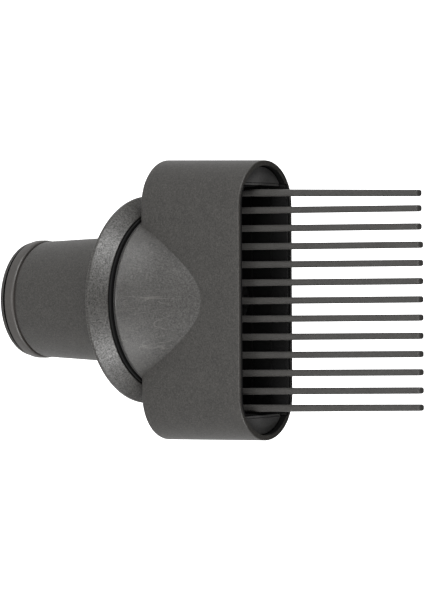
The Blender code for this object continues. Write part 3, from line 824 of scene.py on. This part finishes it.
TEETH = 13
TOOTH_HALF_DEPTH = high("tooth_07").y
TOOTH_EDGE, TOOTH_TIP_EDGE, TOOTH_ROOT_EDGE = 0.85 * MM, 1.0 * MM, 0.3 * MM
TOOTH_LEAST_EDGE = 0.15 * MM
TOOTH_SAMPLE = 3.0 * MM              # the CAD's points this near an end give its centre and width


def centre_and_half(values):
    return (min(values) + max(values)) / 2, (max(values) - min(values)) / 2


def tooth_stations(foot, top, steps=8):
    """Pairs (height, inset) from the root to the rounded tip."""
    stations = [(foot, TOOTH_ROOT_EDGE), (foot + TOOTH_ROOT_EDGE, 0.0), ((foot + top) / 2, 0.0)]
    tip = [(top - TOOTH_TIP_EDGE * drop, TOOTH_TIP_EDGE * inset) for inset, drop in quarter_turn(steps)]
    return stations + tip


def make_tooth(number, looks):
    """A tooth between the two ends of the CAD's own, with smooth round edges."""
    node = "tooth_%02d" % number
    foot, top = low(node).z, high(node).z
    points = [vertex.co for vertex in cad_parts[node].data.vertices]
    tip_centre, tip_half = centre_and_half([p.x for p in points if p.z > top - TOOTH_SAMPLE])
    root_centre, root_half = centre_and_half([p.x for p in points if p.z < foot + TOOTH_SAMPLE])
    loops = []
    for z, inset in tooth_stations(foot, top):
        share = (z - foot) / (top - foot)
        centre = root_centre + (tip_centre - root_centre) * share
        half = root_half + (tip_half - root_half) * share - inset
        deep = TOOTH_HALF_DEPTH - inset
        corner = max(TOOTH_EDGE - inset, TOOTH_LEAST_EDGE)
        outline = fillet([(-half, -deep, corner), (half, -deep, corner),
                          (half, deep, corner), (-half, deep, corner)])
        loops.append([(centre + x, y, z) for x, y in outline])
    mesh_piece("comb_" + node, bar_of_loops(loops), looks["tooth"], "head", node, sharp=40.0)


def make_teeth(looks):
    for number in range(1, TEETH + 1):
        make_tooth(number, looks)


def duct_loop(z, inset, half_length, cone_inset, end_top=None):
    """The duct's outline at a height: the head's own, cut straight at both ends.

    end_top is the height at which the straight end walls stop.
    """
    radius = HALF_DEPTH - inset
    quarter = quarter_outline(radius, cone_radius(z) - cone_inset, half_length, radius)
    quarter = quarter[:CONE_COLUMNS + FLAT_COLUMNS + ARC_COLUMNS + 1]
    corner_y = quarter[-1][1]
    for i in range(END_COLUMNS + 1):
        quarter.append((half_length, corner_y * (1 - i / END_COLUMNS)))
    loop = whole_loop(quarter, z)
    if end_top is None or z <= end_top:
        return loop
    limit = half_length - 0.01 * MM
    return [(x, y, end_top if abs(x) > limit and abs(y) < corner_y * 0.99 else z) for x, y, z in loop]


def make_air_duct(looks):
    foot, top = low("air_duct").z, high("air_duct").z
    step_1, step_2 = 100.85 * MM, 92.25 * MM
    outer_x, inner_x = 43.25 * MM, 42.55 * MM
    end_top = PANEL_FOOT - GAP
    low_inset, high_inset = END_WALL + GAP, SLOT_WALL + GAP
    wall, low_wall, step_in = 1.0 * MM, 1.2 * MM, 0.3 * MM
    cone_in = CONE_WALL + GAP
    rows = 24
    loops = []
    for i in range(rows + 1):
        loops.append(duct_loop(foot + (step_2 - foot) * i / rows, low_inset, outer_x, cone_in))
    loops.append(duct_loop(step_2, high_inset, outer_x, cone_in))
    edge, edge_steps = 0.25 * MM, 3
    top_levels = wall_levels(step_2, top, edge, edge_steps)[edge_steps + 1:]
    for inset, z in top_levels:
        loops.append(duct_loop(z, high_inset + inset, outer_x, cone_in, end_top))
    for inset, z in reversed(top_levels):
        loops.append(duct_loop(z, high_inset + wall - inset, inner_x, cone_in, end_top))
    loops.append(duct_loop(step_1, high_inset + wall, inner_x, cone_in))
    loops.append(duct_loop(step_1, high_inset + wall + step_in, inner_x, cone_in))
    loops.append(duct_loop(step_2, high_inset + wall + step_in, inner_x, cone_in))
    floor = foot + low_wall
    for i in range(rows + 1):
        loops.append(duct_loop(step_2 + (floor - step_2) * i / rows, low_inset + low_wall, inner_x,
                               cone_in + low_wall))
    for z in (floor, foot):
        bore = cone_radius(z) - cone_in - low_wall
        loops.append([(bore * x / math.hypot(x, y), bore * y / math.hypot(x, y), z)
                      for x, y, _ in loops[0]])
    mesh_piece("stepped_duct", tube_of_loops(loops), looks["black"], "head", "air_duct")


def make_rear_cover(looks):
    foot, top = low("rear_cover").z, low("rear_cover").z + 1.4 * MM
    ring_r, hole_r = 30.2 * MM, 28.9 * MM
    edge = 0.3 * MM
    end_steps, ring_steps, post_steps = 48, 64, 48

    def outline(inset):
        """Round ends as wide as the shell's inside, and a ring that bulges out between them."""
        radius, ring = HALF_DEPTH - END_WALL - GAP - inset, ring_r - inset
        meet = math.asin(radius / ring)
        points = []
        for turn in (0.0, math.pi):
            points += arc(math.cos(turn) * END_CENTRE, 0.0, radius, turn - math.pi / 2,
                          turn + math.pi / 2, end_steps)
            points += arc(0.0, 0.0, ring, turn + meet, turn + math.pi - meet, ring_steps)
        return points

    def hole(inset):
        return [((hole_r + inset) * x / math.hypot(x, y), (hole_r + inset) * y / math.hypot(x, y))
                for x, y in outline(0.0)]

    form = plate(outline, foot, top, edge, hole)
    post_r, pilot_r, post_top = 2.5 * MM, 1.4 * MM, high("rear_cover").z
    post_foot = top - 0.2 * MM
    for side in (-1, 1):
        post = [(post_r, post_foot, 0.0), (post_r, post_top, edge), (pilot_r, post_top, 0.2 * MM),
                (pilot_r, post_foot, 0.0)]
        tube_of_loops(ring_loops(post, post_steps, side * POST_X), form=form)
    mesh_piece("swivel_cover", form, looks["body"], "head", "rear_cover")


PANEL_R = high("end_panel_right").x - END_CENTRE
BEAD, BEAD_GROOVE = 0.75 * MM, 0.15 * MM
SKIRT_IN, SKIRT_WALL = 0.6 * MM, 1.2 * MM


def d_outline(side, start, skew, steps=72):
    """A round end cut straight at x = start, turned by skew, as a function of its inset."""
    def outline(inset):
        radius, x = PANEL_R - inset, start + inset
        reach = math.acos((x - END_CENTRE) * math.cos(skew) / radius)
        points = arc(END_CENTRE, 0.0, radius, skew - reach, skew + reach, steps)
        return [(side * px, side * py) for px, py in points]
    return outline


def bead_outline(side):
    """The bar along the edge toward the teeth, as a function of its inset."""
    def outline(inset):
        inside, outside = PANEL_EDGE + inset, PANEL_EDGE + BEAD - inset
        half = math.sqrt(PANEL_R ** 2 - (PANEL_EDGE + BEAD - END_CENTRE) ** 2) - inset - BEAD_GROOVE
        lean = math.tan(PANEL_SKEW)
        return [(side * (x - y * lean), y) for x, y in
                ((inside, -half), (outside, -half), (outside, half), (inside, half))]
    return outline


def make_end_panel(node, side, looks):
    """A D-shaped panel with a bead along its straight edge, and the skirt below it."""
    foot, edge = low(node).z, 0.2 * MM
    panel = d_outline(side, PANEL_EDGE + BEAD + BEAD_GROOVE, side * PANEL_SKEW)
    skirt = d_outline(side, SKIRT_EDGE - SKIRT_IN, 0.0)
    form = plate(panel, PANEL_FOOT, PANEL_TOP, edge)
    plate(bead_outline(side), PANEL_FOOT, PANEL_TOP - 0.05 * MM, edge, form=form)
    plate(lambda inset: skirt(SKIRT_IN + inset), foot, PANEL_FOOT + edge, edge,
          lambda inset: skirt(SKIRT_IN + SKIRT_WALL - inset), form)
    mesh_piece("mouth_" + node, form, looks["panel"], "head", node)


def make_end_panels(looks):
    make_end_panel("end_panel_left", -1, looks)
    make_end_panel("end_panel_right", 1, looks)


def make_spine(looks):
    foot, top = low("comb_spine").z, high("comb_spine").z
    half_depth, half_length = high("comb_spine").y, high("comb_spine").x
    edge, foot_round = 0.5 * MM, 2.0 * MM
    loops = []
    for inset, x in wall_levels(-half_length, half_length, edge):
        side, low_z, high_z = half_depth - inset, foot + inset, top - inset
        section = fillet([(-side, low_z, foot_round), (side, low_z, foot_round),
                          (side, high_z, edge), (-side, high_z, edge)])
        loops.append([(x, y, z) for y, z in section])
    mesh_piece("comb_bar", bar_of_loops(loops), looks["black"], "head", "comb_spine")


def make_screws(looks):
    core_r, shank_r, socket_r, fine = 0.02 * MM, 1.1 * MM, 1.0 * MM, 0.1 * MM
    steps = 48
    for node, side in (("spine_screw_left", -1), ("spine_screw_right", 1)):
        foot, top = low(node).z, high(node).z
        head_r = high(node).y
        under, socket_foot = top - 1.4 * MM, top - 0.9 * MM
        corners = [(core_r, foot, 0.0), (shank_r, foot, 0.3 * MM), (shank_r, under, fine),
                   (head_r, under, 0.15 * MM), (head_r, top, 0.5 * MM), (socket_r, top, fine),
                   (socket_r, socket_foot, fine), (core_r, socket_foot, 0.0)]
        form = tube_of_loops(ring_loops(corners, steps, side * POST_X))
        mesh_piece("socket_" + node, form, looks["steel"], "head", node)


def make_bush(looks):
    foot, top = low("swivel_bush").z, high("swivel_bush").z
    inner, outer = 28.9 * MM, high("swivel_bush").x
    inner_edge, outer_edge = 0.2 * MM, 0.3 * MM
    turned("bearing_bush",
           [(inner, foot, inner_edge), (outer, foot, outer_edge),
            (outer, top, outer_edge), (inner, top, inner_edge)],
           looks["bush"], "head", "swivel_bush")


def make_head(looks):
    make_outer_shell(looks)
    make_air_duct(looks)
    make_rear_cover(looks)
    make_end_panels(looks)
    make_spine(looks)
    make_screws(looks)
    make_teeth(looks)
    make_bush(looks)


# ---------------------------------------------------------------- all of it

GREY = (0.030, 0.0285, 0.0262)
FLANGE_GREY = (0.031, 0.0296, 0.0272)
# painted shade: darker grey for the shell's rim in the gap under the cone
RIM_PAINTED_SHADE_GREY = (0.012, 0.0115, 0.0107)
TOOTH_GREY = (0.040, 0.0388, 0.037)
PANEL_GREY = (0.052, 0.0514, 0.0508)
BAND_GREY = (0.038, 0.0348, 0.0320)
# black of the duct and other dark parts; also painted shade on the shell's inside and in the flange's
# mouth
DUCT_BLACK_AND_PAINTED_SHADE = (0.006, 0.006, 0.006)
# black plastic of the neck, made darker still as painted shade in the gap under the cone
NECK_BLACK_AND_PAINTED_SHADE = (0.005, 0.005, 0.005)
BUSH_BLACK = (0.010, 0.010, 0.010)
# black of the seal; also painted shade on the end ring's faces in the seal's groove
RUBBER_BLACK_AND_PAINTED_SHADE = (0.004, 0.004, 0.004)
STEEL = (0.55, 0.55, 0.56)
NICKEL = (0.62, 0.60, 0.56)
# Heights, changes of roughness and gains of colour at them; the gains of colour are painted light and
# shade
# painted shade: the cone darkens towards its tip; its change of roughness is real
CONE_GLOSS_AND_PAINTED_SHADE = ((HEAD_FOOT + 3.0 * MM, HEAD_FOOT + 13.0 * MM), (-0.12, 0.16), (1.0, 0.95))
# painted light: the teeth are drawn lighter near the mouth, where the front wall shades them
TOOTH_ROOT_PAINTED_LIGHT = ((MOUTH - 1.0 * MM, MOUTH + 19.0 * MM), (0.0, 0.0), (1.35, 1.0))
BODY_RELIEF, CONE_RELIEF, FLANGE_RELIEF = 0.02 * MM, 0.05 * MM, 0.05 * MM


def body_plastic(name):
    return moulded_plastic(name, GREY, 0.42, mottle=0.35, specular=0.38, relief=BODY_RELIEF)


def make_looks():
    return {
        "body": body_plastic("body_plastic"),
        "tube": body_plastic("tube_plastic"),
        "shell": body_plastic("shell_plastic"),
        "cone": moulded_plastic("cone_plastic", GREY, 0.42, mottle=0.35, sheen_marks=0.12, specular=0.45,
                                relief=CONE_RELIEF, flow=0.2, hairline=1.1, gloss_and_painted_light=CONE_GLOSS_AND_PAINTED_SHADE,
                                sparkle=0.15),
        "rim": moulded_plastic("rim_painted_shade", RIM_PAINTED_SHADE_GREY, 0.35),
        "flange": moulded_plastic("flange_plastic", FLANGE_GREY, 0.36, mottle=0.35, sheen_marks=0.2,
                                  relief=FLANGE_RELIEF, flow=0.2, sparkle=0.6),
        "tooth": moulded_plastic("tooth_plastic", TOOTH_GREY, 0.38, flake=0.12, grain=0.06,
                                 specular=0.25, gloss_and_painted_light=TOOTH_ROOT_PAINTED_LIGHT),
        "panel": moulded_plastic("panel_plastic", PANEL_GREY, 0.5, flake=0.15, grain=0.1),
        "band": moulded_plastic("band_plastic", BAND_GREY, 0.38, flake=0.1, grain=0.05),
        "black": moulded_plastic("duct_plastic_and_painted_shade", DUCT_BLACK_AND_PAINTED_SHADE, 0.55, flake=0.1, specular=0.22),
        "neck": moulded_plastic("neck_plastic_and_painted_shade", NECK_BLACK_AND_PAINTED_SHADE, 0.6, flake=0.1, specular=0.14),
        "bush": moulded_plastic("bush_plastic", BUSH_BLACK, 0.45, flake=0.1, specular=0.3),
        "rubber": moulded_plastic("seal_rubber", RUBBER_BLACK_AND_PAINTED_SHADE, 0.7, flake=0.05, specular=0.1),
        "steel": metal("spring_steel", STEEL, 0.3, (1.0, 1.0, 12.0)),
        "magnet": metal("nickel_plate", NICKEL, 0.22, (6.0, 6.0, 1.0)),
    }


make_camera()
make_studio()
looks = make_looks()
make_collar(looks)
make_head(looks)

bpy.context.view_layer.update()
